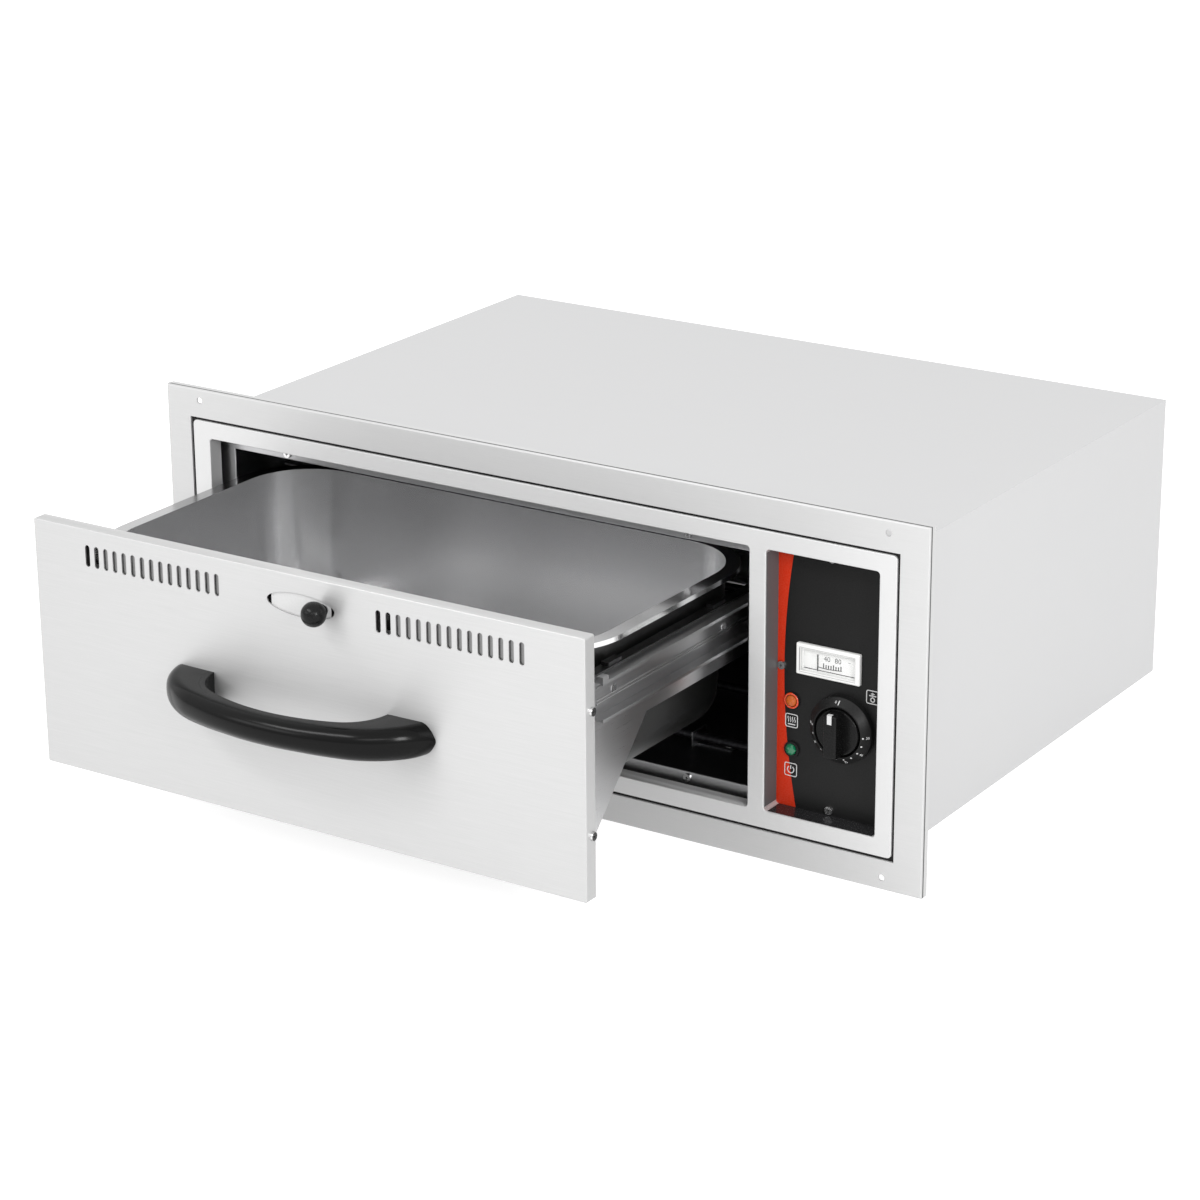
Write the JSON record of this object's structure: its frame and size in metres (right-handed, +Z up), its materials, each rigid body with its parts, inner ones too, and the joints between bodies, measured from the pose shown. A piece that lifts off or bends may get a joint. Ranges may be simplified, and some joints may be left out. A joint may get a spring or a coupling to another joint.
{
  "type": "built-in warming drawer",
  "caption": "Built-in electric warming drawer on ball slides with a lift-out pan, bow handle, vent shutter and a recessed side panel with thermostat knob, gauge and lamps.",
  "frame": {"origin": "centre of the four trim screw holes, in the plane of the trim's front face", "axes": "+X to the right seen from in front, +Y back into the cabinet, +Z up; the drawer comes out along -Y and rests pulled out by 228.6 mm"},
  "size_m": [0.74, 0.8001, 0.305],
  "materials": {
    "trim_steel": "brushed",
    "face_steel": "brushed",
    "front_steel": "brushed",
    "galvanised_steel": "matte zinc",
    "liner_steel": "satin",
    "pan_steel": "satin",
    "carriage_steel": "satin",
    "zinc_steel": "bright zinc",
    "shutter_steel": "satin",
    "bracket_steel": "satin",
    "element_sheath": "dark oxide",
    "screw_steel": "bright",
    "ball_steel": "polished",
    "copper_tube": "satin",
    "mineral_wool": "fibrous",
    "ceramic": "matte",
    "black_panel": "gloss",
    "black_plastic": "matte",
    "knob_black": "gloss",
    "handle_black": "gloss",
    "white_plastic": "satin",
    "clear_glass": "clear",
    "amber_lens": "translucent",
    "green_lens": "translucent",
    "wire_sleeve": "matte"
  },
  "bodies": {
    "cabinet": {"trim_frame": "trim_steel", "face_frame": "face_steel", "casing_shell": "galvanised_steel", "casing_bottom": "galvanised_steel", "casing_back": "galvanised_steel", "front_bulkhead": "galvanised_steel", "control_divider": "galvanised_steel", "liner": "liner_steel", "insulation_wrap": "mineral_wool", "insulation_right": "mineral_wool", "insulation_rear": "mineral_wool", "heating_element": "element_sheath", "element_brackets": "bracket_steel", "element_terminals": "ceramic", "slide_cabinet_left": "zinc_steel", "slide_cabinet_right": "zinc_steel", "slide_cabinet_screws": "screw_steel", "control_panel": "black_panel", "gauge_bezel": "white_plastic", "gauge_lens": "clear_glass", "gauge_dial": "white_plastic", "gauge_body": "black_plastic", "gauge_capillary": "copper_tube", "thermostat_capillary": "copper_tube", "bulb_clips": "bracket_steel", "amber_lamp": "amber_lens", "green_lamp": "green_lens", "lamp_holders": "black_plastic", "dial_ring": "black_panel", "thermostat_body": "ceramic", "terminal_block": "ceramic", "wiring": "wire_sleeve", "cable_gland": "black_plastic", "cabinet_screws": "screw_steel"},
    "pointer": {"gauge_pointer": "black_plastic"},
    "knob": {"thermostat_knob": "knob_black", "thermostat_shaft": "screw_steel"},
    "drawer": {"drawer_front": "front_steel", "drawer_back_panel": "front_steel", "drawer_insulation": "mineral_wool", "handle_grip": "handle_black", "handle_liner": "handle_black", "handle_screws": "screw_steel", "carriage_left": "carriage_steel", "carriage_right": "carriage_steel", "carriage_crossbar": "carriage_steel", "pan_ledges": "carriage_steel", "pan": "pan_steel", "side_screws": "screw_steel", "slide_drawer_left": "zinc_steel", "slide_drawer_right": "zinc_steel", "slide_drawer_screws": "screw_steel", "shutter_studs": "screw_steel"},
    "shutter": {"vent_shutter": "shutter_steel", "shutter_knob": "knob_black"},
    "balls": {"ball_cages": "zinc_steel", "slide_balls": "ball_steel"}
  },
  "joints": [
    {"name": "drawer_slide", "type": "slide", "parent": "cabinet", "child": "drawer", "axis": [0, -1, 0], "range_m": [-0.2286, 0.0112]},
    {"name": "ball_travel", "type": "slide", "parent": "cabinet", "child": "balls", "axis": [0, -1, 0], "range_m": [-0.1144, 0.0057]},
    {"name": "shutter_slide", "type": "slide", "parent": "drawer", "child": "shutter", "axis": [-1, 0, 0], "range_m": [0, 0.0423]},
    {"name": "thermostat_turn", "type": "hinge", "parent": "cabinet", "child": "knob", "pos_m": [0.2879, 0, -0.033], "axis": [0, 1, 0], "range_deg": [0, 285]},
    {"name": "gauge_pointer_slide", "type": "slide", "parent": "cabinet", "child": "pointer", "axis": [1, 0, 0], "range_m": [0, 0.0215]}
  ],
  "couplings": [
    {"joint": "ball_travel", "follows": "drawer_slide", "ratio": 0.5}
  ]
}
